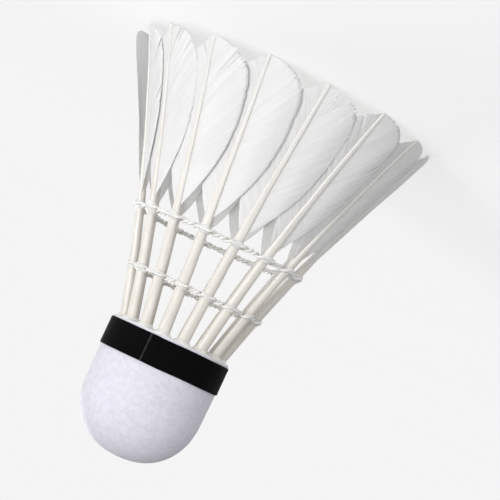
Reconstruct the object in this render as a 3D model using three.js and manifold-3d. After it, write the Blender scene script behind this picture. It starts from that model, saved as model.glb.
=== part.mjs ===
// A feather shuttlecock in millimetres, +Z up. It stands on its sixteen feather tips at z = 0, with the
// leather-covered cork base on top. "Depth" below is the distance from the base's flat face towards the tips.
import * as THREE from 'three';
import { mergeVertices } from 'three/addons/utils/BufferGeometryUtils.js';
import Module from 'manifold-3d';

const wasm = await Module();
wasm.setup();

// Driving dimensions
const FEATHER_COUNT = 16;
const SKIRT_HEIGHT = 58.5; // tips to the base's flat face
const PITCH = (2 * Math.PI) / FEATHER_COUNT;
const FIRST_ANGLE = PITCH / 2; // -Y and +X look between two feathers

// Base
const COVER_RIM_RADIUS = 13.35; // over the leather, at the flat face
const COVER_DOME_RADIUS = 13.25; // over the leather, where the dome starts
const COVER_THICKNESS = 0.35;
const STRAIGHT_LENGTH = 13; // flat face to the start of the dome
const DOME_HEIGHT = 13.8;
const DOME_BLUNTNESS = 2.25; // exponent of the dome's outline; 2 is an ellipse
const CORK_CLEARANCE = 0.1; // glue line between leather and cork
const CORK_JOINT_GAP = 0.3; // glue line between the two corks
const CROWN_LENGTH = 11.8;
const BASE_SIDES = 48;
const DOME_STEPS = 10;

// Ribbon round the top edge of the base
const RIBBON_OFFSET = 0.4; // from the flat face
const RIBBON_WIDTH = 6.2;
const RIBBON_INNER_RADIUS = 13.42;
const RIBBON_OUTER_RADIUS = 13.67;

// Glue on the flat face, round the quills
const GLUE_INNER_RADIUS = 9.2;
const GLUE_OUTER_RADIUS = 12.9;
const GLUE_THICKNESS = 0.5;
const GLUE_GAP = 0.3;

// Feathers
const ROOT_RADIUS = 11.1; // circle of the quills at the flat face
const SHAFT_SLOPE = 0.278;
const SHAFT_BOW = 0.0017; // the shafts curve outwards
const PLUG_DEPTH = 10; // quill inside the cork
const PLUG_HALF_WIDTH = 0.95;
const QUILL_HALF_WIDTH = 1.35;
const TIP_HALF_WIDTH = 0.5;
const SHAFT_THICKNESS_RATIO = 0.9; // radial half thickness over half width
const SHAFT_RIDGE_RATIO = 0.55; // half width of the shaft's flat ridge over its half width
const HOLE_CLEARANCE = 0.2;
const HOLE_SIDES = 12;
const HOLE_MOUTH = 2; // how far the hole cutters stand out of the flat face
const VANE_START = 24.2;
const VANE_THICKNESS = 0.3;
const VANE_TILT = 0.09; // the wide side stands outwards, the narrow side tucks in
const WIDE_VANE = { width: 9.4, fullDepth: 50, fullness: 2 };
const NARROW_VANE = { width: 6.4, fullDepth: 44, fullness: 2.2 };
const WIDE_CORNER_HEIGHT = 6.3; // rounded corner at the tip of the wide side
const WIDE_CORNER_SQUARENESS = 2.3; // 2 is an ellipse
const NARROW_CORNER_SLOPE = 0.67; // straight cut at the tip of the narrow side
const SHAFT_EDGE = 0.15; // least vane beyond the shaft at the tip
const QUILL_DEPTHS = [-PLUG_DEPTH, 0, 12, VANE_START]; // sections of the bare quill
const VANE_DEPTHS = [26.5, 29.5, 34, 40, 46.5, 52, 54.7, 56.8, 58, SKIRT_HEIGHT];
const QUILL_TURNS = [12, 36, 68, 112, 144, 168, 192, 216, 248, 292, 324, 348]; // degrees round a section

// Binding threads
const LOWER_THREAD_DEPTH = 11;
const UPPER_THREAD_DEPTH = 23;
const THREAD_RADIUS = 0.38;
const THREAD_CLEARANCE = 0.25;
const THREAD_SIDES = 4;
const THREAD_STEPS_PER_FEATHER = 4;

// Materials
const materials = {
  leather: new THREE.MeshStandardMaterial({ color: '#e9e8ee', roughness: 0.55, metalness: 0 }),
  cork: new THREE.MeshStandardMaterial({ color: '#c79a64', roughness: 0.9, metalness: 0 }),
  ribbon: new THREE.MeshStandardMaterial({ color: '#0b0b0c', roughness: 0.4, metalness: 0 }),
  glue: new THREE.MeshStandardMaterial({ color: '#f1eee2', roughness: 0.3, metalness: 0 }),
  feather: new THREE.MeshStandardMaterial({ color: '#f4f3ee', roughness: 0.7, metalness: 0 }),
  thread: new THREE.MeshStandardMaterial({ color: '#f5f4ee', roughness: 0.5, metalness: 0 }),
};

const group = new THREE.Group();

function addPiece(name, geometry, material, angle = 0) {
  const mesh = new THREE.Mesh(geometry, material);
  mesh.name = name;
  mesh.rotation.z = angle;
  group.add(mesh);
}

// Helpers for solids

function weld(geometry) {
  geometry.deleteAttribute('normal');
  geometry.deleteAttribute('uv');
  return mergeVertices(geometry, 1e-4);
}

function toSolid(geometry) {
  const welded = weld(geometry);
  const vertProperties = new Float32Array(welded.attributes.position.array);
  const triVerts = new Uint32Array(welded.index.array);
  return new wasm.Manifold(new wasm.Mesh({ numProp: 3, vertProperties, triVerts }));
}

function toGeometry(solid) {
  const mesh = solid.getMesh();
  const geometry = new THREE.BufferGeometry();
  geometry.setAttribute('position', new THREE.BufferAttribute(mesh.vertProperties, 3));
  geometry.setIndex(new THREE.BufferAttribute(mesh.triVerts, 1));
  geometry.computeVertexNormals();
  return geometry;
}

// A closed skin over rings of points, from the highest ring down, each anticlockwise seen from above
function loft(rings) {
  const sides = rings[0].length;
  const positions = rings.flat().flatMap((point) => point.toArray());
  const indices = [];
  for (let row = 0; row < rings.length - 1; row += 1) {
    for (let side = 0; side < sides; side += 1) {
      const a = row * sides + side;
      const b = row * sides + ((side + 1) % sides);
      indices.push(a, a + sides, b, b, a + sides, b + sides);
    }
  }
  const last = (rings.length - 1) * sides;
  capRing(rings[0], 0, true, indices);
  capRing(rings[rings.length - 1], last, false, indices);
  const geometry = new THREE.BufferGeometry();
  geometry.setAttribute('position', new THREE.Float32BufferAttribute(positions, 3));
  geometry.setIndex(indices);
  geometry.computeVertexNormals();
  return geometry;
}

function capRing(ring, offset, facesUp, indices) {
  const outline = ring.map((point) => new THREE.Vector2(point.x, point.y));
  for (const [a, b, c] of THREE.ShapeUtils.triangulateShape(outline, [])) {
    const anticlockwise = THREE.ShapeUtils.area([outline[a], outline[b], outline[c]]) > 0;
    if (anticlockwise === facesUp) {
      indices.push(offset + a, offset + b, offset + c);
    } else {
      indices.push(offset + a, offset + c, offset + b);
    }
  }
}

// A solid of revolution about Z from [radius, z] points
function turned(points) {
  const profile = points.map(([radius, z]) => new THREE.Vector2(radius, z));
  const geometry = new THREE.LatheGeometry(profile, BASE_SIDES);
  geometry.rotateX(Math.PI / 2);
  return weld(geometry);
}

// Places that follow from the dimensions

function heightAt(depth) {
  return SKIRT_HEIGHT - depth;
}

function shaftRadius(depth) {
  return ROOT_RADIUS + SHAFT_SLOPE * depth + SHAFT_BOW * depth * depth;
}

function shaftHalfWidth(depth) {
  if (depth < 0) {
    return THREE.MathUtils.mapLinear(depth, -PLUG_DEPTH, 0, PLUG_HALF_WIDTH, QUILL_HALF_WIDTH);
  }
  return THREE.MathUtils.mapLinear(depth, 0, SKIRT_HEIGHT, QUILL_HALF_WIDTH, TIP_HALF_WIDTH);
}

// Outline of a dome from its foot to its top, offset inwards from the leather's outer face
function domeOutline(inset) {
  const power = 2 / DOME_BLUNTNESS;
  const foot = SKIRT_HEIGHT + STRAIGHT_LENGTH;
  const points = [];
  for (let step = 0; step < DOME_STEPS; step += 1) {
    const turn = (step / DOME_STEPS) * (Math.PI / 2);
    const radius = (COVER_DOME_RADIUS - inset) * Math.cos(turn) ** power;
    points.push([radius, foot + (DOME_HEIGHT - inset) * Math.sin(turn) ** power]);
  }
  return [...points, [0, foot + DOME_HEIGHT - inset]];
}

// Base: two corks glued into one, in a leather cover with a ribbon round its top edge

function leatherCover() {
  const outer = [[COVER_RIM_RADIUS, SKIRT_HEIGHT], ...domeOutline(0)];
  const inner = [[COVER_RIM_RADIUS - COVER_THICKNESS, SKIRT_HEIGHT], ...domeOutline(COVER_THICKNESS)];
  return turned([...outer, ...inner.reverse(), outer[0]]);
}

function corkNose() {
  const foot = SKIRT_HEIGHT + CROWN_LENGTH + CORK_JOINT_GAP;
  const outline = domeOutline(COVER_THICKNESS + CORK_CLEARANCE);
  return turned([[0, foot], [outline[0][0], foot], ...outline]);
}

function quillHole(angle) {
  const rings = [-PLUG_DEPTH - HOLE_CLEARANCE, 0, HOLE_MOUTH].map((depth) => {
    const width = shaftHalfWidth(depth) + HOLE_CLEARANCE;
    const thickness = shaftHalfWidth(depth) * SHAFT_THICKNESS_RATIO + HOLE_CLEARANCE;
    const ring = [];
    for (let side = 0; side < HOLE_SIDES; side += 1) {
      const turn = (2 * Math.PI * side) / HOLE_SIDES;
      const x = shaftRadius(depth) + thickness * Math.cos(turn);
      ring.push(new THREE.Vector3(x, width * Math.sin(turn), heightAt(depth)));
    }
    return ring;
  });
  return toSolid(loft(rings).rotateZ(angle));
}

function withQuillHoles(geometry) {
  let solid = toSolid(geometry);
  for (let index = 0; index < FEATHER_COUNT; index += 1) {
    solid = solid.subtract(quillHole(FIRST_ANGLE + index * PITCH));
  }
  return toGeometry(solid);
}

function corkCrown() {
  const radius = COVER_DOME_RADIUS - COVER_THICKNESS - CORK_CLEARANCE;
  const top = SKIRT_HEIGHT + CROWN_LENGTH;
  return withQuillHoles(turned([[0, SKIRT_HEIGHT], [radius, SKIRT_HEIGHT], [radius, top], [0, top]]));
}

function glueRing() {
  const top = SKIRT_HEIGHT - GLUE_GAP;
  const bottom = top - GLUE_THICKNESS;
  const outline = [
    [GLUE_INNER_RADIUS, bottom],
    [GLUE_OUTER_RADIUS, bottom],
    [GLUE_OUTER_RADIUS, top],
    [GLUE_INNER_RADIUS, top],
  ];
  return withQuillHoles(turned([...outline, outline[0]]));
}

function ribbonBand() {
  const bottom = SKIRT_HEIGHT + RIBBON_OFFSET;
  const top = bottom + RIBBON_WIDTH;
  const outline = [
    [RIBBON_INNER_RADIUS, bottom],
    [RIBBON_OUTER_RADIUS, bottom],
    [RIBBON_OUTER_RADIUS, top],
    [RIBBON_INNER_RADIUS, top],
  ];
  return turned([...outline, outline[0]]);
}

// Feather: one quill, round and bare up to the vane, with a wide and a narrow vane grown on its sides

function vaneWidth(vane, depth) {
  const share = THREE.MathUtils.clamp((depth - VANE_START) / (vane.fullDepth - VANE_START), 0, 1);
  return vane.width * (1 - (1 - share) ** vane.fullness);
}

function wideWidth(depth) {
  const fromTip = Math.min(1, (SKIRT_HEIGHT - depth) / WIDE_CORNER_HEIGHT);
  const corner = (1 - (1 - fromTip) ** WIDE_CORNER_SQUARENESS) ** (1 / WIDE_CORNER_SQUARENESS);
  return Math.max(vaneWidth(WIDE_VANE, depth) * corner, shaftHalfWidth(depth) + SHAFT_EDGE);
}

function narrowWidth(depth) {
  const corner = (SKIRT_HEIGHT - depth) / NARROW_CORNER_SLOPE;
  return Math.max(Math.min(vaneWidth(NARROW_VANE, depth), corner), shaftHalfWidth(depth) + SHAFT_EDGE);
}

// Section points as [across, outwards]: across is positive on the wide side

function quillSection(depth) {
  const width = shaftHalfWidth(depth);
  return QUILL_TURNS.map((degrees) => {
    const turn = THREE.MathUtils.degToRad(degrees);
    return [width * Math.cos(turn), width * SHAFT_THICKNESS_RATIO * Math.sin(turn)];
  });
}

function vaneSection(depth) {
  const side = shaftHalfWidth(depth);
  const ridge = side * SHAFT_THICKNESS_RATIO;
  const shoulder = side * SHAFT_RIDGE_RATIO;
  const skin = VANE_THICKNESS / 2;
  const wide = wideWidth(depth);
  const narrow = narrowWidth(depth);
  return [
    [wide, skin],
    [side, skin],
    [shoulder, ridge],
    [-shoulder, ridge],
    [-side, skin],
    [-narrow, skin],
    [-narrow, -skin],
    [-side, -skin],
    [-shoulder, -ridge],
    [shoulder, -ridge],
    [side, -skin],
    [wide, -skin],
  ];
}

function featherRing(section, depth) {
  const centre = shaftRadius(depth);
  return section.map(([across, outwards]) => {
    const tilt = depth > VANE_START ? VANE_TILT * across : 0;
    const radius = centre + outwards + tilt;
    const angle = -across / centre;
    return new THREE.Vector3(radius * Math.cos(angle), radius * Math.sin(angle), heightAt(depth));
  });
}

function feather() {
  return loft([
    ...QUILL_DEPTHS.map((depth) => featherRing(quillSection(depth), depth)),
    ...VANE_DEPTHS.map((depth) => featherRing(vaneSection(depth), depth)),
  ]);
}

// Binding thread: two strands, one outside and one inside the quills, that meet between each pair of quills

function strand(depth, side) {
  const centre = shaftRadius(depth);
  const reach = shaftHalfWidth(depth) + THREAD_CLEARANCE + THREAD_RADIUS;
  const steps = FEATHER_COUNT * THREAD_STEPS_PER_FEATHER;
  const geometry = new THREE.TorusGeometry(centre, THREAD_RADIUS, THREAD_SIDES, steps);
  const point = new THREE.Vector3();
  const position = geometry.attributes.position;
  for (let index = 0; index < position.count; index += 1) {
    point.fromBufferAttribute(position, index);
    const step = Math.round((Math.atan2(point.y, point.x) / PITCH) * THREAD_STEPS_PER_FEATHER);
    const between = THREE.MathUtils.euclideanModulo(step, THREAD_STEPS_PER_FEATHER) === 0;
    const radius = Math.hypot(point.x, point.y);
    const shifted = radius + (between ? 0 : side * reach);
    point.set((point.x * shifted) / radius, (point.y * shifted) / radius, point.z + heightAt(depth));
    position.setXYZ(index, point.x, point.y, point.z);
  }
  return toSolid(geometry);
}

function bindingThread(depth) {
  return toGeometry(strand(depth, 1).add(strand(depth, -1)));
}

// Assembly

addPiece('leather_cover', leatherCover(), materials.leather);
addPiece('cork_nose', corkNose(), materials.cork);
addPiece('cork_crown', corkCrown(), materials.cork);
addPiece('ribbon_band', ribbonBand(), materials.ribbon);
addPiece('glue_ring', glueRing(), materials.glue);
addPiece('thread_lower', bindingThread(LOWER_THREAD_DEPTH), materials.thread);
addPiece('thread_upper', bindingThread(UPPER_THREAD_DEPTH), materials.thread);
for (let index = 0; index < FEATHER_COUNT; index += 1) {
  const name = `feather_${String(index + 1).padStart(2, '0')}`;
  addPiece(name, feather(), materials.feather, FIRST_ANGLE + index * PITCH);
}

export default group;
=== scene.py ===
"""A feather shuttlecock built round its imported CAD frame, in metres, +Z up.

It stands on its feather tips at z = 0, with the leather-covered cork base on top. "Depth" is the
distance from the base's flat face towards the tips, "across" runs from a shaft towards its wide vane, and
"outwards" points away from the shuttlecock's axis.
"""

import math
import random

import bmesh
import bpy
import numpy as np
from mathutils import Matrix, Vector, noise


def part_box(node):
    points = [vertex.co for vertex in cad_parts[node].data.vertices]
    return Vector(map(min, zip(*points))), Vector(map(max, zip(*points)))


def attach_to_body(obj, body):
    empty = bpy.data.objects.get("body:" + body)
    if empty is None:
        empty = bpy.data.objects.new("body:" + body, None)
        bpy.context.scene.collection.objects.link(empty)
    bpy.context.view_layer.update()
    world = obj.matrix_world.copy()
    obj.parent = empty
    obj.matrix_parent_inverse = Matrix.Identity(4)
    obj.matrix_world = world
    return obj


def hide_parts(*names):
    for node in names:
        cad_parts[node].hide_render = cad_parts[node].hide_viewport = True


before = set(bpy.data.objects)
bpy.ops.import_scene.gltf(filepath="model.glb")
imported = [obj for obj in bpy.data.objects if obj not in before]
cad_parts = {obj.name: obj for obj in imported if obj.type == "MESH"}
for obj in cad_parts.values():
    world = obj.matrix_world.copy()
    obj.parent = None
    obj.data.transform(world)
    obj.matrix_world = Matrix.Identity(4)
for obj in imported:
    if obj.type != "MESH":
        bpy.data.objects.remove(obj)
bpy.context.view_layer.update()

MM = 0.001

# Places from the frame
cover_low, cover_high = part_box("leather_cover")
ribbon_low, ribbon_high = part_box("ribbon_band")
FACE_Z = cover_low.z  # the base's flat face
NOSE_Z = cover_high.z
SKIRT = FACE_Z  # from the flat face to the tips at z = 0
FEATHERS = sorted(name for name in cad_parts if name.startswith("feather_"))
PITCH = 2 * math.pi / len(FEATHERS)

# The shafts and vanes, as the CAD feathers have them
ROOT_RADIUS = 11.1 * MM
SHAFT_SLOPE = 0.278
SHAFT_BOW = 0.0017 / MM
PLUG_DEPTH = 9.5 * MM
QUILL_HALF_WIDTH = 1.35 * MM
PLUG_HALF_WIDTH = 0.95 * MM
TIP_HALF_WIDTH = 0.5 * MM
VANE_START = 24.3 * MM
VANE_TILT = 0.09
# barb_angle: degrees between shaft and barbs where the vane starts; angle_lost: how much less at the tip;
# arch and curl: how far the barbs rise outwards on their way and bend back inwards at their ends
WIDE_VANE = {
    "width": 9.4 * MM, "full_depth": 50 * MM, "fullness": 2.0,
    "barb_angle": 50, "angle_lost": 20, "arch": 0.42 * MM, "curl": 0.35 * MM,
}
NARROW_VANE = {
    "width": 6.4 * MM, "full_depth": 44 * MM, "fullness": 2.2,
    "barb_angle": 42, "angle_lost": 18, "arch": 0.25 * MM, "curl": 0.1 * MM,
}
WIDE_CORNER = 6.3 * MM
CORNER_SQUARENESS = 2.3
NARROW_CORNER_SLOPE = 0.67


# Small helpers


def smoothstep(low, high, value):
    share = np.clip((value - low) / (high - low), 0, 1)
    return share * share * (3 - 2 * share)


def build_mesh(name, points, faces, materials, face_materials=None, attributes=None):
    """An object from points and faces, with its faces turned outwards and shaded smooth."""
    mesh = bpy.data.meshes.new(name)
    mesh.from_pydata([tuple(p) for p in points], [], [tuple(f) for f in faces])
    for material in materials:
        mesh.materials.append(material)
    if face_materials is not None:
        mesh.polygons.foreach_set("material_index", np.array(face_materials, np.int32))
    for key, values in (attributes or {}).items():
        layer = mesh.attributes.new(key, "FLOAT", "POINT")
        layer.data.foreach_set("value", np.array(values, np.float32))
    shell = bmesh.new()
    shell.from_mesh(mesh)
    bmesh.ops.recalc_face_normals(shell, faces=shell.faces)
    shell.to_mesh(mesh)
    shell.free()
    mesh.polygons.foreach_set("use_smooth", [True] * len(mesh.polygons))
    mesh.update()
    piece = bpy.data.objects.new(name, mesh)
    bpy.context.scene.collection.objects.link(piece)
    return piece


def ring_faces(rows, sides, closed=False):
    """Quads between rings of points: closed joins the last to the first, otherwise both ends are capped."""
    faces = []
    for row in range(rows if closed else rows - 1):
        here = row * sides
        after = (row + 1) % rows * sides
        for side in range(sides):
            turn = (side + 1) % sides
            faces.append((here + side, here + turn, after + turn, after + side))
    if not closed:
        last = (rows - 1) * sides
        faces.append(tuple(range(sides)))
        faces.append(tuple(last + side for side in reversed(range(sides))))
    return faces


def wobble(x, y=0.0, z=0.0):
    """Smooth noise between about -1 and 1."""
    return noise.noise(Vector((x, y, z)))


# Materials
# Texture scales are per metre for object points, per barb for the barb attribute, and per millimetre for
# depth, lap and rise. The along attribute goes from 0 at the shaft to 1 at a barb's end.

EVEN_DEPTH = (1.0, 0.85, 0.65)  # how far red, green and blue light spread inside horn, thread and glue


class Nodes:
    """A material's node tree, with short calls for the nodes used here."""

    def __init__(self, name):
        self.material = bpy.data.materials.new(name)
        self.material.use_nodes = True
        self.tree = self.material.node_tree
        self.tree.nodes.clear()
        self.output = self.tree.nodes.new("ShaderNodeOutputMaterial")
        self.shader = self.tree.nodes.new("ShaderNodeBsdfPrincipled")
        self.link(self.shader.outputs[0], self.output.inputs["Surface"])

    def link(self, source, target):
        self.tree.links.new(source, target)

    def feed(self, socket, value):
        """Link another node's socket to this one, or set its value."""
        if isinstance(value, bpy.types.NodeSocket):
            self.link(value, socket)
        else:
            socket.default_value = value

    def node(self, kind, settings=None, **inputs):
        """A node with its properties and its inputs, which are named with _ for a space."""
        made = self.tree.nodes.new(kind)
        for key, value in (settings or {}).items():
            setattr(made, key, value)
        for key, value in inputs.items():
            self.feed(made.inputs[key.replace("_", " ")], value)
        return made

    def math(self, operation, first, second):
        made = self.node("ShaderNodeMath", {"operation": operation})
        self.feed(made.inputs[0], first)
        self.feed(made.inputs[1], second)
        return made.outputs[0]

    def attribute(self, name):
        return self.node("ShaderNodeAttribute", {"attribute_name": name}).outputs["Fac"]

    def object_point(self):
        return self.node("ShaderNodeTexCoord").outputs["Object"]

    def stretched(self, vector, scale):
        return self.node("ShaderNodeMapping", Vector=vector, Scale=scale).outputs[0]

    def joined(self, x, y):
        return self.node("ShaderNodeCombineXYZ", X=x, Y=y).outputs[0]

    def speckle(self, vector, scale, detail=2.0, roughness=0.5):
        made = self.node(
            "ShaderNodeTexNoise", Vector=vector, Scale=scale, Detail=detail, Roughness=roughness,
        )
        return made.outputs["Fac"]

    def cells(self, vector, scale, feature="F1"):
        made = self.node("ShaderNodeTexVoronoi", {"feature": feature}, Vector=vector, Scale=scale)
        return made.outputs["Distance"]

    def bands(self, vector, axis, scale, distortion):
        made = self.node(
            "ShaderNodeTexWave", {"wave_type": "BANDS", "bands_direction": axis},
            Vector=vector, Scale=scale, Distortion=distortion,
        )
        return made.outputs["Fac"]

    def ramp(self, factor, low, high, first, last):
        """Colours first to last as factor goes from low to high."""
        made = self.node("ShaderNodeValToRGB", Fac=factor)
        for stop, position, color in zip(made.color_ramp.elements, (low, high), (first, last)):
            stop.position = position
            stop.color = (*color, 1)
        return made.outputs["Color"]

    def mix(self, factor, first, second, blend="MIX"):
        made = self.node("ShaderNodeMix", {"data_type": "RGBA", "blend_type": blend})
        for index, value in ((0, factor), (6, first), (7, second)):
            self.feed(made.inputs[index], (*value, 1) if isinstance(value, tuple) else value)
        return made.outputs[2]

    def scaled(self, factor, low, high):
        return self.node("ShaderNodeMapRange", Value=factor, To_Min=low, To_Max=high).outputs[0]

    def bump(self, height, strength, distance, under=None):
        made = self.node("ShaderNodeBump", Height=height, Strength=strength, Distance=distance)
        if under is not None:
            self.link(under, made.inputs["Normal"])
        return made.outputs[0]

    def finish(self, color, roughness, normal=None, **constants):
        self.link(color, self.shader.inputs["Base Color"])
        self.link(roughness, self.shader.inputs["Roughness"])
        if normal is not None:
            self.link(normal, self.shader.inputs["Normal"])
        for key, value in constants.items():
            self.shader.inputs[key.replace("_", " ")].default_value = value
        return self.material


VANE_TRANSLUCENCY = 0.34


def vane_material():
    """White barbs side by side, with fine barbules, and some light passing through."""
    n = Nodes("feather_vane")
    barb = n.attribute("barb")
    along = n.attribute("along")
    streak = n.speckle(n.joined(barb, n.math("MULTIPLY", along, 0.15)), 0.9, 2.0)
    cloud = n.speckle(n.object_point(), 90.0, 2.0)
    white = n.ramp(streak, 0.3, 0.7, (0.86, 0.86, 0.855), (0.955, 0.955, 0.95))
    root = n.ramp(along, 0.0, 0.16, (0.90, 0.88, 0.83), (1.0, 1.0, 1.0))
    color = n.mix(0.8, white, root, "MULTIPLY")
    color = n.mix(n.scaled(cloud, 0.0, 0.25), color, (0.86, 0.865, 0.88))
    barbules = n.bands(n.joined(n.math("MULTIPLY", along, 40.0), barb), "X", 1.0, 1.5)
    normal = n.bump(barbules, 0.25, 0.02 * MM)
    material = n.finish(
        color, n.scaled(streak, 0.5, 0.68), normal, Sheen_Weight=0.12, Sheen_Roughness=0.4,
        Specular_IOR_Level=0.35,
    )
    through = n.node("ShaderNodeBsdfTranslucent", Color=color)
    blend = n.node("ShaderNodeMixShader", Fac=VANE_TRANSLUCENCY)
    n.link(n.shader.outputs[0], blend.inputs[1])
    n.link(through.outputs[0], blend.inputs[2])
    n.link(blend.outputs[0], n.output.inputs["Surface"])
    return material


def quill_material():
    """Smooth horn with long streaks: waxy ivory at the root, whiter where it carries the vane."""
    n = Nodes("feather_quill")
    depth = n.attribute("depth")
    around = n.attribute("around")
    streak = n.speckle(n.joined(around, n.math("MULTIPLY", depth, 0.02)), 9.0, 3.0, 0.6)
    ivory = n.ramp(streak, 0.25, 0.75, (0.55, 0.52, 0.465), (0.72, 0.69, 0.64))
    pale = n.ramp(streak, 0.25, 0.75, (0.66, 0.64, 0.60), (0.775, 0.765, 0.74))
    fade = n.node("ShaderNodeMapRange", Value=depth, From_Min=0.0, From_Max=45.0).outputs[0]
    color = n.mix(fade, ivory, pale)
    normal = n.bump(streak, 0.3, 0.05 * MM)
    return n.finish(
        color, n.scaled(streak, 0.28, 0.42), normal, Subsurface_Weight=0.25, Subsurface_Scale=0.8 * MM,
        Subsurface_Radius=EVEN_DEPTH, Coat_Weight=0.15, Coat_Roughness=0.25,
    )


def leather_material():
    """White kid leather: a fine creased grain with painted shade in its creases, faintly mottled."""
    n = Nodes("kid_leather")
    point = n.object_point()
    grain = n.cells(point, 2300.0, "DISTANCE_TO_EDGE")
    creases = n.node(
        "ShaderNodeMapRange", {"interpolation_type": "SMOOTHSTEP"},
        Value=grain, From_Min=0.0, From_Max=0.16,
    ).outputs[0]
    fine = n.speckle(point, 3800.0, 3.0, 0.6)
    mottle = n.speckle(point, 900.0, 4.0, 0.75)
    cloud = n.speckle(point, 70.0, 2.0)
    color = n.ramp(mottle, 0.36, 0.66, (0.545, 0.535, 0.60), (0.645, 0.635, 0.71))
    color = n.mix(n.scaled(cloud, 0.0, 0.3), color, (0.665, 0.655, 0.715))
    # painted shade: the colour is darker along the grain's creases
    painted_crease_shade = n.ramp(creases, 0.0, 0.6, (0.93, 0.93, 0.945), (1.0, 1.0, 1.0))
    color = n.mix(0.6, color, painted_crease_shade, "MULTIPLY")
    normal = n.bump(fine, 0.4, 0.05 * MM)
    normal = n.bump(creases, 0.5, 0.03 * MM, normal)
    normal = n.bump(mottle, 0.6, 0.12 * MM, normal)
    return n.finish(color, n.scaled(mottle, 0.5, 0.68), normal, Specular_IOR_Level=0.2)


def ribbon_material():
    """Black woven tape with fine cross ribs and a painted highlight along the raised ribs, worn paler along
    its cut end.
    """
    n = Nodes("black_ribbon")
    lap = n.attribute("lap")
    rise = n.attribute("rise")
    cut = n.attribute("cut")
    ribs = n.bands(n.joined(lap, rise), "X", 2.2, 0.25)
    weft = n.bands(n.joined(lap, rise), "Y", 1.4, 0.4)
    weave = n.math("MULTIPLY", ribs, weft)
    dust = n.speckle(n.object_point(), 900.0, 3.0)
    # painted highlight: the colour is a little lighter where the weave stands highest
    color = n.ramp(weave, 0.0, 1.0, (0.0005, 0.0005, 0.0006), (0.004, 0.004, 0.0045))
    color = n.mix(n.scaled(dust, 0.0, 0.1), color, (0.012, 0.012, 0.013))
    color = n.mix(n.math("MULTIPLY", cut, dust), color, (0.07, 0.07, 0.072))
    normal = n.bump(weave, 0.7, 0.07 * MM)
    return n.finish(color, n.scaled(dust, 0.45, 0.65), normal, Specular_IOR_Level=0.03)


def thread_material():
    """White thread stiffened with clear glue."""
    n = Nodes("glued_thread")
    fuzz = n.speckle(n.object_point(), 1500.0, 3.0)
    color = n.ramp(fuzz, 0.3, 0.7, (0.67, 0.665, 0.64), (0.775, 0.77, 0.745))
    normal = n.bump(fuzz, 0.3, 0.06 * MM)
    return n.finish(
        color, n.scaled(fuzz, 0.3, 0.5), normal, Coat_Weight=0.3, Coat_Roughness=0.2,
        Subsurface_Weight=0.15, Subsurface_Scale=0.5 * MM, Subsurface_Radius=EVEN_DEPTH,
    )


def glue_material():
    """Dried glue, nearly clear over white."""
    n = Nodes("dried_glue")
    cloud = n.speckle(n.object_point(), 700.0, 3.0)
    color = n.ramp(cloud, 0.3, 0.7, (0.70, 0.69, 0.655), (0.785, 0.775, 0.745))
    normal = n.bump(cloud, 0.3, 0.1 * MM)
    return n.finish(
        color, n.scaled(cloud, 0.14, 0.3), normal, Subsurface_Weight=0.3, Subsurface_Scale=0.8 * MM,
        Subsurface_Radius=EVEN_DEPTH, Coat_Weight=0.4, Coat_Roughness=0.12,
    )


def cork_material():
    """Natural cork: warm brown with dark pores and paler growth bands."""
    n = Nodes("natural_cork")
    point = n.object_point()
    grains = n.cells(point, 1100.0)
    bands = n.speckle(n.stretched(point, (1.0, 0.35, 1.0)), 330.0, 4.0, 0.6)
    pores = n.cells(n.stretched(point, (1.0, 0.45, 1.0)), 640.0)
    color = n.ramp(bands, 0.35, 0.65, (0.36, 0.19, 0.075), (0.68, 0.44, 0.22))
    grain_edges = n.ramp(grains, 0.1, 0.75, (1.0, 1.0, 1.0), (0.55, 0.46, 0.36))
    color = n.mix(0.7, color, grain_edges, "MULTIPLY")
    dark_pores = n.ramp(pores, 0.1, 0.22, (0.16, 0.09, 0.05), (1.0, 1.0, 1.0))
    color = n.mix(0.85, color, dark_pores, "MULTIPLY")
    normal = n.bump(grains, 0.5, 0.15 * MM)
    normal = n.bump(pores, 0.6, 0.25 * MM, normal)
    return n.finish(color, n.scaled(grains, 0.75, 0.95), normal)


def floor_material():
    """Plain pale floor; some of its brightness is its own, which keeps the shadows soft."""
    n = Nodes("pale_floor")
    cloud = n.speckle(n.object_point(), 3.0, 2.0)
    color = n.ramp(cloud, 0.3, 0.7, (0.555, 0.555, 0.555), (0.565, 0.565, 0.565))
    n.shader.inputs["Emission Color"].default_value = (1, 1, 1, 1)
    return n.finish(color, n.scaled(cloud, 0.8, 0.9), Emission_Strength=0.515, Specular_IOR_Level=0.0)


# Feathers


def shaft_radius(depth):
    return ROOT_RADIUS + SHAFT_SLOPE * depth + SHAFT_BOW * depth * depth


def shaft_half_width(depth):
    plug = QUILL_HALF_WIDTH + (PLUG_HALF_WIDTH - QUILL_HALF_WIDTH) * (-depth / PLUG_DEPTH)
    shaft = QUILL_HALF_WIDTH + (TIP_HALF_WIDTH - QUILL_HALF_WIDTH) * (depth / SKIRT)
    return np.where(np.asarray(depth) < 0, plug, shaft)


# Single feathers by index: how far they are bent and twisted at the tip, as the photo shows them
BENT_SIDEWAYS = {9: -1.3 * MM, 10: -0.9 * MM, 11: -0.35 * MM, 13: -0.9 * MM}  # negative: to the wide vane
TWISTED = {0: 0.32, 13: -0.05, 15: -0.07}  # radians; positive turns the wide vane outwards
WORN = {3: 3, 6: 2, 11: 5, 14: 2}  # how many more times the barbs have parted at a frayed tip

FIRST_SEED = 1000
SLIMMING = 0.22  # how much of the shaft's width goes where it starts to carry the vane
SLIM_FROM, SLIM_FULL = 22 * MM, 38 * MM
TILT_FROM, TILT_FULL = 20 * MM, 27 * MM


def vane_of(side):
    return WIDE_VANE if side > 0 else NARROW_VANE


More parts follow.
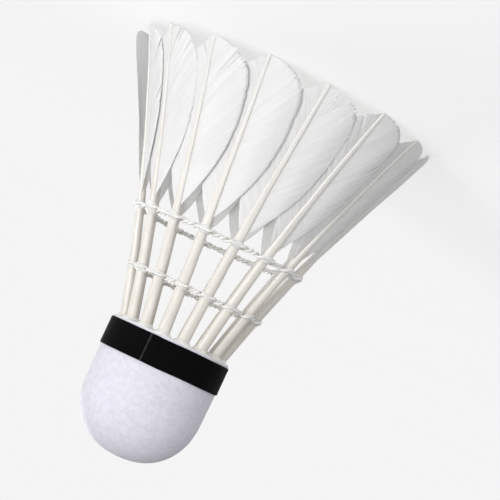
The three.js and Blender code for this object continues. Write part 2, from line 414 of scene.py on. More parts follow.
class Feather:
    """One feather's place and its small differences from the others."""

    def __init__(self, index):
        draw = random.Random(FIRST_SEED + index)
        self.name = FEATHERS[index]
        self.angle = (index + 0.5) * PITCH
        self.sway = draw.uniform(-0.35, 0.35) * MM + BENT_SIDEWAYS.get(index, 0.0)
        self.worn = WORN.get(index, 0)
        self.lean = draw.uniform(-0.35, 0.35) * MM  # outwards at the tip
        self.twist = draw.uniform(-0.05, 0.05) + TWISTED.get(index, 0.0)
        self.trim = draw.uniform(0.0, 0.7) * MM  # shorter than the longest one
        self.wide_scale = draw.uniform(0.95, 1.03)
        self.narrow_scale = draw.uniform(0.92, 1.04)
        self.corner = draw.uniform(0.8, 1.2)
        self.stoutness = draw.uniform(0.95, 1.05)
        self.phase = draw.uniform(0, 100)
        self.draw = draw

    @property
    def tip(self):
        return SKIRT - self.trim

    def place(self, across, outwards, depth):
        """Points from their place on the feather, which may be numbers or arrays."""
        share = np.clip(depth / SKIRT, 0, 1) ** 2
        tilt = VANE_TILT * smoothstep(TILT_FROM, TILT_FULL, depth) + self.twist * share
        centre = shaft_radius(depth) + self.lean * share
        radius = centre + outwards + tilt * across
        angle = self.angle + (self.sway * share - across) / centre
        return np.stack((radius * np.cos(angle), radius * np.sin(angle), FACE_Z - depth), axis=-1)

    def half_width(self, depth):
        slimmer = 1 - SLIMMING * smoothstep(SLIM_FROM, SLIM_FULL, depth)
        return shaft_half_width(depth) * self.stoutness * slimmer

    def vane_width(self, side, depth):
        """How far the trimmed vane reaches from the shaft at a depth."""
        vane = vane_of(side)
        scale = self.wide_scale if side > 0 else self.narrow_scale
        share = np.clip((depth - VANE_START) / (vane["full_depth"] - VANE_START), 0, 1)
        width = vane["width"] * scale * (1 - (1 - share) ** vane["fullness"])
        below_tip = np.maximum(self.tip - depth, 0)
        if side > 0:
            corner = np.minimum(below_tip / (WIDE_CORNER * self.corner), 1)
            return width * (1 - (1 - corner) ** CORNER_SQUARENESS) ** (1 / CORNER_SQUARENESS)
        return np.minimum(width, below_tip / (NARROW_CORNER_SLOPE * self.corner))


QUILL_SIDES = 24
QUILL_ROWS = 120
QUILL_THICKNESS = 0.9  # as a share of its width
CARRIES_FROM, CARRIES_FULL = 17 * MM, 30 * MM  # where the round quill turns into a four-sided shaft
SHAFT_SQUARENESS = 1.1
OUTSIDE_FLATTENING = 0.12
GROOVE_DEPTH, GROOVE_WIDTH = 0.42, 0.36  # shares of the shaft's half width
GROOVE_FLOOR = 0.1
CUT_TIP = 0.86  # width of the trimmed end, as a share of the shaft's
QUILL_UNEVENNESS = 0.025
SCAR_HEIGHT = 0.09 * MM  # left along both sides where the lowest barbs were stripped off
SCAR_FROM, SCAR_FULL = 9 * MM, 14 * MM
SCAR_FADES, SCAR_ENDS = 23 * MM, 26 * MM
BEND_ACROSS, BEND_OUTWARDS = 0.1 * MM, 0.08 * MM
LEAST_BEND = 0.3  # share of the bends that the bare quill has


def quill_section(feather, half, depth, carries):
    """Across and outwards round the quill at a depth; carries goes from 0 at the root to 1 at the vanes."""
    turns = np.linspace(0, 2 * math.pi, QUILL_SIDES, endpoint=False)
    power = 2 / (2 + SHAFT_SQUARENESS * carries)
    across = half * np.sign(np.cos(turns)) * np.abs(np.cos(turns)) ** power
    outwards = QUILL_THICKNESS * half * np.sign(np.sin(turns)) * np.abs(np.sin(turns)) ** power
    outwards = np.where(outwards > 0, outwards * (1 - OUTSIDE_FLATTENING * carries), outwards)
    groove = GROOVE_DEPTH * carries * half * np.exp(-((across / (GROOVE_WIDTH * half)) ** 2))
    outwards = np.where(outwards < 0, np.minimum(outwards + groove, -GROOVE_FLOOR * half), outwards)
    bare = float(smoothstep(SCAR_FROM, SCAR_FULL, depth) - smoothstep(SCAR_FADES, SCAR_ENDS, depth))
    scar = bare * SCAR_HEIGHT * (0.5 + wobble(depth / (0.7 * MM), feather.phase + 21))
    across = across + np.sign(across) * scar * (np.abs(np.cos(turns)) > 0.95)
    return across, outwards


def quill_rings(feather):
    """The quill: round and smooth at the root, then four-sided with a groove along its inner face."""
    depths = np.linspace(-PLUG_DEPTH, feather.tip, QUILL_ROWS)
    rows = []
    for row, depth in enumerate(depths):
        carries = float(smoothstep(CARRIES_FROM, CARRIES_FULL, depth))
        half = float(feather.half_width(depth))
        half *= 1 + QUILL_UNEVENNESS * wobble(depth / (5 * MM), feather.phase)
        if row == QUILL_ROWS - 1:
            half *= CUT_TIP
        across, outwards = quill_section(feather, half, depth, carries)
        bend_across = BEND_ACROSS * wobble(depth / (14 * MM), feather.phase + 7)
        bend_outwards = BEND_OUTWARDS * wobble(depth / (12 * MM), feather.phase + 13)
        bends = max(carries, LEAST_BEND)
        rows.append(feather.place(across + bend_across * bends, outwards + bend_outwards * bends,
                                  np.full(QUILL_SIDES, depth)))
    turns = np.linspace(0, 2 * math.pi, QUILL_SIDES, endpoint=False)
    around = np.tile(np.sin(turns) * 0.5 + np.cos(turns) * 0.37 + feather.phase, QUILL_ROWS)
    return np.concatenate(rows), np.repeat(depths / MM, QUILL_SIDES), around


BARB_PITCH = 0.34 * MM
BARB_POINTS = 12
BARB_RIDGE = 0.07 * MM
BARB_CURVE = 12.0  # per metre, towards the tip
BARB_UNEVENNESS = 0.012
STRAY_CHANCE = 0.03  # that a barb is shorter than its neighbours
STRAY_LENGTH = (0.93, 0.98)
LAST_BARB = 0.1 * MM  # from the tip
LONGEST_BARB = 12 * MM
SHORTEST_BARB = 0.25 * MM
TRIM_STEPS = 400
VANE_THICKNESS = 0.1 * MM
WORN_FROM = 0.7  # share of the vane's length
WORN_CHANCE = 0.12  # that a barb is broken off, times how worn the feather is
WORN_LENGTH = (0.55, 0.9)
WAVE = 0.22 * MM  # how far the vane waves in and out at its widest


def barb_lines(feather, side):
    """Each barb's points from the shaft to its trimmed end, as across (unsigned) and depth arrays."""
    vane = vane_of(side)
    roots = np.arange(VANE_START, feather.tip - LAST_BARB, BARB_PITCH)
    share = (roots - VANE_START) / (SKIRT - VANE_START)
    slope = np.tan(np.radians(vane["barb_angle"] - vane["angle_lost"] * share))[:, None]
    reach = np.linspace(0, LONGEST_BARB, TRIM_STEPS)
    depth = roots[:, None] + reach / slope + BARB_CURVE * reach**2
    outside = (reach > feather.vane_width(side, depth)) | (depth > feather.tip)
    ends = reach[np.argmax(outside, axis=1)]
    draw = feather.draw
    for index in range(len(roots)):
        ends[index] *= 1 - abs(draw.gauss(0, BARB_UNEVENNESS))
        if draw.random() < STRAY_CHANCE:
            ends[index] *= draw.uniform(*STRAY_LENGTH)
        worn = side > 0 and feather.worn and share[index] > WORN_FROM
        if worn and draw.random() < WORN_CHANCE * feather.worn:
            ends[index] *= draw.uniform(*WORN_LENGTH)
    ends = np.maximum(ends, SHORTEST_BARB)
    t = np.linspace(0, 1, BARB_POINTS) ** 0.9
    across = ends[:, None] * t
    depth = roots[:, None] + across / slope + BARB_CURVE * across**2
    return across, depth, t


# Where the barbs have come apart, as ranges to draw from. at: which barb, as a share of them all; from: how
# far along the barb the split starts; gap: its width at the edge, in mm; yield: how many barbs give way
SPLIT = {"at": (0.2, 0.8), "from": (0.35, 0.7), "gap": (0.12, 0.4), "yield": (3, 8)}
FRAYED_SPLIT = {"at": (0.74, 0.94), "from": (0.05, 0.4), "gap": (0.15, 0.4), "yield": (1.5, 4)}
UNSPLIT = 0.12  # the least that stays whole beside the shaft


def draw_split(draw, kind, barbs):
    first, last = kind["at"]
    return {
        "at": draw.randint(int(barbs * first), int(barbs * last)),
        "from": max(draw.uniform(*kind["from"]), UNSPLIT),
        "gap": draw.uniform(*kind["gap"]) * MM,
        "yield": draw.uniform(*kind["yield"]),
    }


def vane_splits(feather, side, barbs):
    draw = feather.draw
    count = draw.choice((0, 1, 1, 2)) if side > 0 else draw.choice((0, 1, 1))
    splits = [draw_split(draw, SPLIT, barbs) for _ in range(count)]
    frayed = feather.worn if side > 0 else draw.choice((0, 0, 1))
    splits += [draw_split(draw, FRAYED_SPLIT, barbs) for _ in range(frayed)]
    return splits


def split_shift(splits, place, t, upper):
    """How far a row moves towards the tip beside the splits; upper says which lip a split's own row is."""
    shift = np.zeros_like(t)
    for split in splits:
        middle = split["at"] - 0.5
        away = place - middle
        sign = math.copysign(1, away) if away else (1 if upper else -1)
        open_share = np.clip((t - split["from"]) / (1 - split["from"]), 0, 1) ** 1.4
        shift += sign * split["gap"] * open_share * math.exp(-abs(away) / split["yield"])
    return shift


def vane_rows(feather, across, depth, t, splits):
    """A row of points along each barb's ridge and each boundary between barbs, and both lips of each split.

    Returns across and depth arrays, each row's place counted in barbs, its lift, and the rows' indices by
    (kind, number). A kind is ridge, low for a boundary or a split's lower lip, or high for its upper lip.
    """
    barbs = len(across)
    cuts = {split["at"] for split in splits}
    rows, places, lifts = [], [], []
    row_ids = {}

    def add_row(kind, number, place):
        low = int(np.clip(math.floor(place), 0, barbs - 1))
        high = int(np.clip(math.ceil(place), 0, barbs - 1))
        row_across = (across[low] + across[high]) / 2
        row_depth = (depth[low] + depth[high]) / 2
        if place < 0 or place > barbs - 1:
            row_depth = row_depth + math.copysign(BARB_PITCH / 2, place)
        row_depth = row_depth + split_shift(splits, place, t, kind == "high")
        row_ids[kind, number] = len(rows)
        rows.append((row_across, row_depth))
        places.append(place)
        lifts.append(0.0 if kind == "ridge" else -BARB_RIDGE * feather.draw.uniform(0.5, 1.6))

    for boundary in range(barbs + 1):
        add_row("low", boundary, boundary - 0.5)
        if boundary in cuts:
            add_row("high", boundary, boundary - 0.5)
        if boundary < barbs:
            add_row("ridge", boundary, float(boundary))
    row_across = np.array([row[0] for row in rows])
    row_depth = np.array([row[1] for row in rows])
    return row_across, row_depth, places, lifts, row_ids


def vane_relief(feather, side, row_across, row_depth, lifts, t):
    """How far outwards each point of a vane is from the shaft's middle."""
    vane = vane_of(side)
    reach = row_across / WIDE_VANE["width"]
    attach = 0.12 * feather.half_width(row_depth)
    arch = vane["arch"] * np.sin(math.pi * np.clip(t, 0, 1) ** 0.8) * reach
    curl = vane["curl"] * reach**3
    wave = np.array([
        [wobble(d / (9 * MM), a / (6 * MM), feather.phase + side) for a, d in zip(ra, rd)]
        for ra, rd in zip(row_across, row_depth)
    ]) * WAVE * reach
    lift = np.array(lifts)[:, None] * smoothstep(0.0, 0.12, t)
    return attach + arch - curl + wave + lift


def vane_quads(barbs, cuts, row_ids, t):
    """Quads between the rows; a split's lips share their points up to where the split starts."""
    def vertex(key, column):
        kind, boundary = key
        if kind == "high" and t[column] <= cuts[boundary]:
            key = ("low", boundary)
        return row_ids[key] * BARB_POINTS + column

    quads = []
    for barb in range(barbs):
        first = ("high", barb) if barb in cuts else ("low", barb)
        strip = [first, ("ridge", barb), ("low", barb + 1)]
        for lower, upper in zip(strip, strip[1:]):
            for column in range(BARB_POINTS - 1):
                quads.append((vertex(lower, column), vertex(lower, column + 1),
                              vertex(upper, column + 1), vertex(upper, column)))
    return quads


def vane_sheet(feather, side):
    """One vane as a closed thin shell of ridged barbs: points, faces and its barb and along values."""
    across, depth, t = barb_lines(feather, side)
    splits = vane_splits(feather, side, len(across))
    row_across, row_depth, places, lifts, row_ids = vane_rows(feather, across, depth, t, splits)
    outwards = vane_relief(feather, side, row_across, row_depth, lifts, t)
    row_depth = np.minimum(row_depth, feather.tip)
    signed = row_across * side
    thickness = VANE_THICKNESS * (1 - 0.45 * t)
    top = feather.place(signed, outwards + thickness / 2, row_depth).reshape(-1, 3)
    under = feather.place(signed, outwards - thickness / 2, row_depth).reshape(-1, 3)
    cuts = {split["at"]: split["from"] for split in splits}
    faces = close_sheet(vane_quads(len(across), cuts, row_ids, t), len(top))
    barb_values = np.repeat(np.array(places) + feather.phase, BARB_POINTS)
    along_values = np.tile(t, len(places))
    return np.concatenate((top, under)), faces, np.tile(barb_values, 2), np.tile(along_values, 2)


def close_sheet(quads, offset):
    """The sheet, its copy underneath at offset, and a rim along every open edge."""
    edges = {}
    for quad in quads:
        for start, end in zip(quad, quad[1:] + quad[:1]):
            edges[(start, end)] = True
    rim = [(end, start, start + offset, end + offset)
           for start, end in edges if (end, start) not in edges]
    under = [tuple(corner + offset for corner in reversed(quad)) for quad in quads]
    return quads + under + rim


def drop_unused(points, faces, values):
    """Only the points that faces use, with the faces renumbered."""
    used = np.zeros(len(points), bool)
    for face in faces:
        for corner in face:
            used[corner] = True
    new_index = np.cumsum(used) - 1
    faces = [tuple(int(new_index[corner]) for corner in face) for face in faces]
    return points[used], faces, [value[used] for value in values]


def build_feather(feather, materials):
    quill_points, quill_depth, around = quill_rings(feather)
    points = [quill_points]
    faces = ring_faces(QUILL_ROWS, QUILL_SIDES)
    face_materials = [0] * len(faces)
    values = {"depth": [quill_depth], "around": [around],
              "barb": [np.zeros(len(around))], "along": [np.zeros(len(around))]}
    for side in (1, -1):
        vane_points, vane_faces, barb, along = vane_sheet(feather, side)
        vane_points, vane_faces, (barb, along) = drop_unused(vane_points, vane_faces, [barb, along])
        offset = sum(len(part) for part in points)
        faces += [tuple(corner + offset for corner in face) for face in vane_faces]
        face_materials += [1] * len(vane_faces)
        points.append(vane_points)
        values["depth"].append((FACE_Z - vane_points[:, 2]) / MM)
        values["around"].append(np.zeros(len(barb)))
        values["barb"].append(barb)
        values["along"].append(along)
    piece = build_mesh(
        feather.name + "_detail", np.concatenate(points), faces, materials, face_materials,
        {key: np.concatenate(parts) for key, parts in values.items()},
    )
    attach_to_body(piece, "root")
    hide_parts(feather.name)


# Binding threads

THREAD_RADIUS = {"thread_lower": 0.25 * MM, "thread_upper": 0.3 * MM}
THREAD_GLUE = {"thread_lower": 0.6 * MM, "thread_upper": 0.85 * MM}
THREAD_SEED = 12
STRAND_SIDES = 9
STEPS_PER_PITCH = 30
PLIES = 3
PLY_RELIEF = 0.14
THREAD_TWISTS = 150  # of the plies, once round the shuttlecock
HITCH_TWISTS = 8
HITCH_POINTS = 22
HITCH_SLANT = 0.3 * MM
BEAD_ROWS, BEAD_SIDES = 9, 14
SAG = 0.1 * MM
HALF_TURNS = 3  # of the two strands round each other, from quill to quill
HUG_FULL, HUG_GONE = 0.17, 0.36  # how near, in pitches, a strand lies on a quill, and where it has left it
STRAND_ON_QUILL = 0.85  # from the quill's surface to the strand's middle, in strand radii
STRAND_ON_STRAND = 0.95


def twisted_ring(path, radius, twists):
    """A closed ring of thread along points, with its plies twisted along it."""
    path = np.asarray(path)
    tangent = np.roll(path, -1, axis=0) - np.roll(path, 1, axis=0)
    tangent /= np.linalg.norm(tangent, axis=1)[:, None]
    side = np.cross(tangent, (0.0, 0.0, 1.0))
    side /= np.linalg.norm(side, axis=1)[:, None]
    rise = np.cross(side, tangent)
    turns = np.linspace(0, 2 * math.pi, STRAND_SIDES, endpoint=False)
    spin = np.linspace(0, 2 * math.pi * twists, len(path), endpoint=False)
    relief = 1 + PLY_RELIEF * np.cos(PLIES * (turns[None, :] - spin[:, None]))
    ring = side[:, None, :] * np.cos(turns)[None, :, None] + rise[:, None, :] * np.sin(turns)[None, :, None]
    points = path[:, None, :] + ring * (radius * relief)[:, :, None]
    return points.reshape(-1, 3), ring_faces(len(path), STRAND_SIDES, closed=True)


def quill_angle(feather, depth):
    x, y, _ = feather.place(0.0, 0.0, depth)
    return float(np.arctan2(y, x))


def thread_path(feathers, depth, start_turn, strand):
    """One of the two strands: it hugs each quill and twists with the other strand between quills."""
    path = []
    for step in range(len(feathers) * STEPS_PER_PITCH):
        position = step / STEPS_PER_PITCH
        index = int(position)
        share = position - index
        here, after = feathers[index % len(feathers)], feathers[(index + 1) % len(feathers)]
        nearest = here if share < 0.5 else after
        hug = float(1 - smoothstep(HUG_FULL, HUG_GONE, min(share, 1 - share)))
        on_quill = float(nearest.half_width(depth)) * QUILL_THICKNESS + strand * STRAND_ON_QUILL
        on_strand = strand * STRAND_ON_STRAND
        arm = on_strand + (on_quill - on_strand) * hug
        turn = start_turn + math.pi * (index + float(smoothstep(0.16, 0.84, share))) * HALF_TURNS
        angle_here = quill_angle(here, depth)
        step_angle = (quill_angle(after, depth) - angle_here) % (2 * math.pi)
        angle = angle_here + step_angle * share
        radius = shaft_radius(depth) + arm * math.cos(turn)
        sag = SAG * wobble(position * 1.3, start_turn) * (1 - hug)
        height = FACE_Z - depth + arm * math.sin(turn) * (1 - 0.6 * hug) + sag
        path.append((radius * math.cos(angle), radius * math.sin(angle), height))
    return path


def hitch_path(feather, depth, lift, strand):
    """A loop of thread drawn tight round one quill."""
    half = float(feather.half_width(depth))
    turns = np.linspace(0, 2 * math.pi, HITCH_POINTS, endpoint=False)
    across = (half + strand * 0.6) * np.cos(turns)
    outwards = (QUILL_THICKNESS * half + strand * 0.6) * np.sin(turns)
    slant = lift + HITCH_SLANT * np.cos(turns + feather.phase)
    return feather.place(across, outwards, depth + slant)


def glue_bead(feather, depth, size, stretch):
    """A small blob of glue over a knot, drawn out along the quill."""
    half = float(feather.half_width(depth))
    turns = np.linspace(0, 2 * math.pi, BEAD_SIDES, endpoint=False)
    rings = []
    for row in range(BEAD_ROWS):
        latitude = math.pi * (row + 0.5) / BEAD_ROWS
        spread = math.sin(latitude)
        uneven = np.array([
            1 + 0.12 * wobble(math.cos(turn) * 1.7, math.sin(turn) * 1.7 + row, feather.phase)
            for turn in turns
        ])
        across = (half + size * 0.75) * spread * np.cos(turns) * uneven
        outwards = (QUILL_THICKNESS * half + size * 0.62) * spread * np.sin(turns) * uneven
        offset = -size * 1.5 * math.cos(latitude) * stretch
        rings.append(feather.place(across, outwards, depth + np.full(BEAD_SIDES, offset)))
    return np.concatenate(rings), ring_faces(BEAD_ROWS, BEAD_SIDES)


def build_thread(node, feathers, materials):
    low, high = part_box(node)
    depth = FACE_Z - (low.z + high.z) / 2
    draw = random.Random(THREAD_SEED)
    points, faces, face_materials = [], [], []

    def add(part, material_index):
        offset = sum(len(done) for done in points)
        points.append(part[0])
        faces.extend(tuple(corner + offset for corner in face) for face in part[1])
        face_materials.extend([material_index] * len(part[1]))

    strand = THREAD_RADIUS[node]
    for start in (0.0, math.pi):
        add(twisted_ring(thread_path(feathers, depth, start, strand), strand, THREAD_TWISTS), 0)
    for feather in feathers:
        for lift in (-0.8 * strand, strand):
            add(twisted_ring(hitch_path(feather, depth, lift, strand), strand * 0.9, HITCH_TWISTS), 0)
        size = THREAD_GLUE[node] * draw.uniform(0.8, 1.15)
        stretch = draw.uniform(0.7, 1.15)
        add(glue_bead(feather, depth, size, stretch), 1)
    piece = build_mesh(node + "_detail", np.concatenate(points), faces, materials, face_materials)
    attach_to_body(piece, "root")
    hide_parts(node)


# Base

COVER_TURNS = 160
DOME_ROWS = 44
WALL_ROWS = 26
INSIDE_ROWS = 20
DOME_HEIGHT = 13.8 * MM
DOME_POWER = 2 / 2.25
RIM_RADIUS = cover_high.x
DOME_RADIUS = 13.25 * MM
DOME_FOOT = NOSE_Z - DOME_HEIGHT
COVER_THICKNESS = 0.35 * MM
SWELL = 0.07 * MM  # broad unevenness of the leather
CREASE = 0.03 * MM  # its small creases


def dome_outline(inset, rows):
    """(radius, z) from beside the nose's top to the last row above the dome's foot."""
    outline = []
    for row in range(1, rows):
        turn = math.pi / 2 * (1 - row / rows)
        radius = (DOME_RADIUS - inset) * math.cos(turn) ** DOME_POWER
        outline.append((radius, DOME_FOOT + (DOME_HEIGHT - inset) * math.sin(turn) ** DOME_POWER))
    return outline


def cover_wall(inset, rows, rim_z):
    """(radius, z) straight down from the dome's foot to the rim."""
    wall = []
    for row in range(rows + 1):
        share = row / rows
        radius = DOME_RADIUS + (RIM_RADIUS - DOME_RADIUS) * share - inset
        wall.append((radius, DOME_FOOT + (rim_z - DOME_FOOT) * share))
    return wall


def cover_profile():
    """(radius, z) down the outside from the nose, round the cut edge and back up the inside.

    Also returns how many of the points are on the outside.
    """
    edge_radius = COVER_THICKNESS / 2
    rim_z = FACE_Z + edge_radius
    outside = dome_outline(0.0, DOME_ROWS) + cover_wall(0.0, WALL_ROWS, rim_z)
    edge = []
    for degrees in range(30, 180, 30):
        turn = math.radians(degrees)
        edge.append((RIM_RADIUS - edge_radius * (1 - math.cos(turn)), rim_z - edge_radius * math.sin(turn)))
    inside = dome_outline(COVER_THICKNESS, INSIDE_ROWS) + cover_wall(COVER_THICKNESS, INSIDE_ROWS, rim_z)
    return outside + edge + inside[::-1], len(outside)


def build_cover(material):
    """A closed leather shell, uneven on the outside except under the ribbon."""
    profile, outside_rows = cover_profile()
    points = [(0.0, 0.0, NOSE_Z)]
    bare_from, bare_full = ribbon_high.z - 1.5 * MM, ribbon_high.z + 0.5 * MM
    for row, (radius, z) in enumerate(profile):
        free = float(smoothstep(bare_from, bare_full, z)) if row < outside_rows else 0.0
        for side in range(COVER_TURNS):
            angle = 2 * math.pi * side / COVER_TURNS
            x, y = math.cos(angle), math.sin(angle)
            swell = SWELL * wobble(x * 1.6, y * 1.6, z / (7 * MM))
            crease = CREASE * wobble(x * 5, y * 5, z / (1.9 * MM))
            uneven = radius + (swell + crease - CREASE) * free
            points.append((uneven * x, uneven * y, z + (swell * 0.5) * free))
    points.append((0.0, 0.0, NOSE_Z - COVER_THICKNESS))
    faces = []
    last = 1 + (len(profile) - 1) * COVER_TURNS
    for side in range(COVER_TURNS):
        turn = (side + 1) % COVER_TURNS
        faces.append((0, 1 + side, 1 + turn))
        faces.append((len(points) - 1, last + turn, last + side))
        for row in range(len(profile) - 1):
            here = 1 + row * COVER_TURNS
            after = here + COVER_TURNS
            faces.append((here + side, after + side, after + turn, here + turn))
    piece = build_mesh("leather_cover_detail", points, faces, [material])
    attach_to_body(piece, "root")
    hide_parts("leather_cover")


RIBBON_ROWS = 360
RIBBON_OVERLAP = 0.16  # radians
LAP_ANGLE = math.radians(-81)
LAP_FROM, LAP_FULL = 2 * math.pi - 0.05, 2 * math.pi + 0.03  # where the tape climbs over its own start
LAP_GAP = 0.02 * MM
CUT_END = 0.035  # radians
TAPE_INSIDE = DOME_RADIUS + 0.16 * MM
TAPE_THICKNESS = 0.2 * MM
TAPE_RISES = (0.0, 0.06, 0.14, 0.3, 0.5, 0.7, 0.86, 0.94, 1.0)  # shares of its width
SELVEDGE_RISES = (0.06, 0.94)
SELVEDGE = 0.05 * MM  # how far the selvedges stand out
EDGE_ROUNDING = 0.06 * MM
TAPE_SWAY, TAPE_WANDER = 0.05 * MM, 0.06 * MM  # outwards, and up and down


def tape_section(inside):
    """(radius, rise) up the tape's outer face and down its inner face."""
    section = []
    for rise in TAPE_RISES:
        selvedge = SELVEDGE if rise in SELVEDGE_RISES else 0.0
        edge = EDGE_ROUNDING if rise in (0.0, 1.0) else 0.0
        section.append((inside + TAPE_THICKNESS + selvedge - edge, rise))
    return section + [(inside, rise) for rise in reversed(TAPE_RISES)]


def build_ribbon(material):
    """A tape wound once round the base with its end lapped over its start."""
    points, laps, rises, cuts = [], [], [], []
    width = ribbon_high.z - ribbon_low.z
    sweep = 2 * math.pi + RIBBON_OVERLAP
    for row in range(RIBBON_ROWS):
        along = sweep * (row / (RIBBON_ROWS - 1))
        angle = LAP_ANGLE + along
        over = float(smoothstep(LAP_FROM, LAP_FULL, along))
        for radius, rise in tape_section(TAPE_INSIDE + over * (TAPE_THICKNESS + LAP_GAP)):
            uneven = radius + TAPE_SWAY * wobble(angle * 1.5, rise, 3.0)
            z = ribbon_low.z + width * rise + TAPE_WANDER * wobble(angle * 2.2, 9.0)
            points.append((uneven * math.cos(angle), uneven * math.sin(angle), z))
            laps.append(angle * TAPE_INSIDE / MM)
            rises.append(rise * width / MM)
            cuts.append(float(smoothstep(sweep - CUT_END, sweep, along)))
    faces = ring_faces(RIBBON_ROWS, 2 * len(TAPE_RISES))
    attributes = {"lap": laps, "rise": rises, "cut": cuts}
    piece = build_mesh("ribbon_band_detail", points, faces, [material], attributes=attributes)
    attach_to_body(piece, "root")
    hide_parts("ribbon_band")


GLUE_TURNS, GLUE_RINGS = 288, 15
GLUE_INSIDE = 8.9 * MM
GLUE_MARGIN = 0.15 * MM  # short of the cover's rim
FILM = 0.28 * MM
CLIMB = 0.95 * MM  # up each quill
CLIMB_FULL, CLIMB_FADE = 1.25 * MM, 0.4 * MM  # from the quill's middle
POOLING = 0.06 * MM
LEAST_GLUE = 0.02 * MM
RAGGEDNESS = 0.35 * MM  # of the inner edge


def glue_thickness(x, y, share, roots):
    """How thick the film is; share goes from its inner to its outer edge, roots are the quills' places."""
    near = min(math.hypot(x - root[0], y - root[1]) for root in roots)
    climb = CLIMB * math.exp(-max(near - CLIMB_FULL, 0) / CLIMB_FADE)
    film = FILM * math.sin(math.pi * min(max(share, 0.04), 0.96)) ** 0.5
    pool = POOLING * wobble(x / (1.1 * MM), y / (1.1 * MM))
    return max(film + climb + pool, LEAST_GLUE)


def build_glue(feathers, material):
    """A film of glue on the flat face that climbs each quill."""
    roots = [feather.place(0.0, 0.0, 0.3 * MM)[:2] for feather in feathers]
    outer = RIM_RADIUS - GLUE_MARGIN
    top, bottom = [], []
    for ring in range(GLUE_RINGS):
        share = ring / (GLUE_RINGS - 1)
        for side in range(GLUE_TURNS):
            angle = 2 * math.pi * side / GLUE_TURNS
            ragged = RAGGEDNESS * wobble(math.cos(angle) * 4, math.sin(angle) * 4) * (1 - share) ** 2
            radius = GLUE_INSIDE + (outer - GLUE_INSIDE) * share + ragged
            x, y = radius * math.cos(angle), radius * math.sin(angle)
            top.append((x, y, FACE_Z - glue_thickness(x, y, share, roots)))
            bottom.append((x, y, FACE_Z + LEAST_GLUE))
    quads = []
    for ring in range(GLUE_RINGS - 1):
        here = ring * GLUE_TURNS
        after = here + GLUE_TURNS
        for side in range(GLUE_TURNS):
            turn = (side + 1) % GLUE_TURNS
            quads.append((here + side, here + turn, after + turn, after + side))
    piece = build_mesh("glue_ring_detail", top + bottom, close_sheet(quads, len(top)), [material])
    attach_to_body(piece, "root")
    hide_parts("glue_ring")


# Studio

CAMERA_DISTANCE = 0.36
CAMERA_HEIGHT = 62 * MM  # level with the ribbon
CAMERA_AIM = Vector((-7.0 * MM, 0, 34 * MM))
CAMERA_ROLL = math.radians(25)  # how far the skirt leans to the right of straight up in the picture
CAMERA_LENS = 122
CAMERA_SENSOR = 36

BACKDROP = 0.908  # as bright as the floor
BRIGHT_SIDE = (0.55, -0.65, -0.5)
DIM_SIDE_LIGHT = 0.25
BRIGHT_SIDE_LIGHT = 1.15
KEY_FROM = (0.57, -0.81, 0.14)
KEY_STRENGTH = 1.74
BACK_FROM = (0.3, 0.9, 0.3)
BACK_STRENGTH = 0.8
SOFTNESS = math.radians(19)  # the lamps' width, as seen from the shuttlecock
FLOOR_REACH = 3.0
FLOOR_GAP = 0.05 * MM


def add_camera():
    place = Vector((0, -CAMERA_DISTANCE, CAMERA_HEIGHT))
    forward = (CAMERA_AIM - place).normalized()
    skirt = Vector((0, 0, -1))
    upright = (skirt - forward * skirt.dot(forward)).normalized()
    up = upright * math.cos(CAMERA_ROLL) - forward.cross(upright) * math.sin(CAMERA_ROLL)
    right = forward.cross(up)
    camera = bpy.data.objects.new("camera", bpy.data.cameras.new("camera"))
    camera.matrix_world = Matrix((right, up, -forward)).transposed().to_4x4()
    camera.location = place
    camera.data.lens = CAMERA_LENS
    camera.data.sensor_width = CAMERA_SENSOR
    bpy.context.scene.collection.objects.link(camera)
    bpy.context.scene.camera = camera


def add_lamp(name, comes_from, strength):
    """A far-off soft lamp, so that the floor is lit evenly up to the horizon."""
    lamp = bpy.data.objects.new(name, bpy.data.lights.new(name, "SUN"))
    lamp.data.angle = SOFTNESS
    lamp.data.energy = strength
    lamp.rotation_euler = (-Vector(comes_from)).to_track_quat("-Z", "Y").to_euler()
    bpy.context.scene.collection.objects.link(lamp)


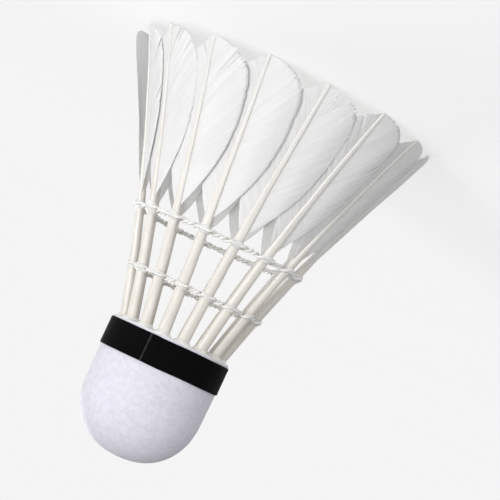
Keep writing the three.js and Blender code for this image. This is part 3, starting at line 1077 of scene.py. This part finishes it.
def add_world():
    """An even pale backdrop; the light it gives is strongest from low down, in front on the +X side."""
    world = bpy.data.worlds.new("studio")
    world.use_nodes = True
    tree = world.node_tree
    sky = tree.nodes["Background"]
    direction = tree.nodes.new("ShaderNodeTexCoord").outputs["Generated"]
    towards = tree.nodes.new("ShaderNodeVectorMath")
    towards.operation = "DOT_PRODUCT"
    towards.inputs[1].default_value = Vector(BRIGHT_SIDE).normalized()
    tree.links.new(direction, towards.inputs[0])
    strength = tree.nodes.new("ShaderNodeMapRange")
    levels = {"From Min": -1, "From Max": 1, "To Min": DIM_SIDE_LIGHT, "To Max": BRIGHT_SIDE_LIGHT}
    for socket, value in levels.items():
        strength.inputs[socket].default_value = value
    tree.links.new(towards.outputs["Value"], strength.inputs["Value"])
    seen = tree.nodes.new("ShaderNodeLightPath").outputs["Is Camera Ray"]
    pick = tree.nodes.new("ShaderNodeMix")
    tree.links.new(seen, pick.inputs[0])
    tree.links.new(strength.outputs[0], pick.inputs[2])
    pick.inputs[3].default_value = BACKDROP
    tree.links.new(pick.outputs[0], sky.inputs["Strength"])
    sky.inputs["Color"].default_value = (1, 1, 1, 1)
    bpy.context.scene.world = world


def add_studio():
    corners = [(x * FLOOR_REACH, y * FLOOR_REACH, 0) for x, y in ((-1, -1), (1, -1), (1, 1), (-1, 1))]
    floor = build_mesh("floor", corners, [(0, 1, 2, 3)], [floor_material()])
    floor.location.z = -FLOOR_GAP
    add_world()
    add_lamp("key", KEY_FROM, KEY_STRENGTH)
    add_lamp("back", BACK_FROM, BACK_STRENGTH)
    scene = bpy.context.scene
    scene.view_settings.view_transform = "Standard"
    scene.view_settings.look = "None"


# Assembly

add_camera()
add_studio()

vane = vane_material()
quill = quill_material()
thread = thread_material()
glue = glue_material()
cork = cork_material()

feathers = [Feather(index) for index in range(len(FEATHERS))]
for feather in feathers:
    build_feather(feather, [quill, vane])
for node in ("thread_lower", "thread_upper"):
    build_thread(node, feathers, [thread, glue])
build_cover(leather_material())
build_ribbon(ribbon_material())
build_glue(feathers, glue)
for node in ("cork_nose", "cork_crown"):
    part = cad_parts[node]
    part.data.materials.clear()
    part.data.materials.append(cork)
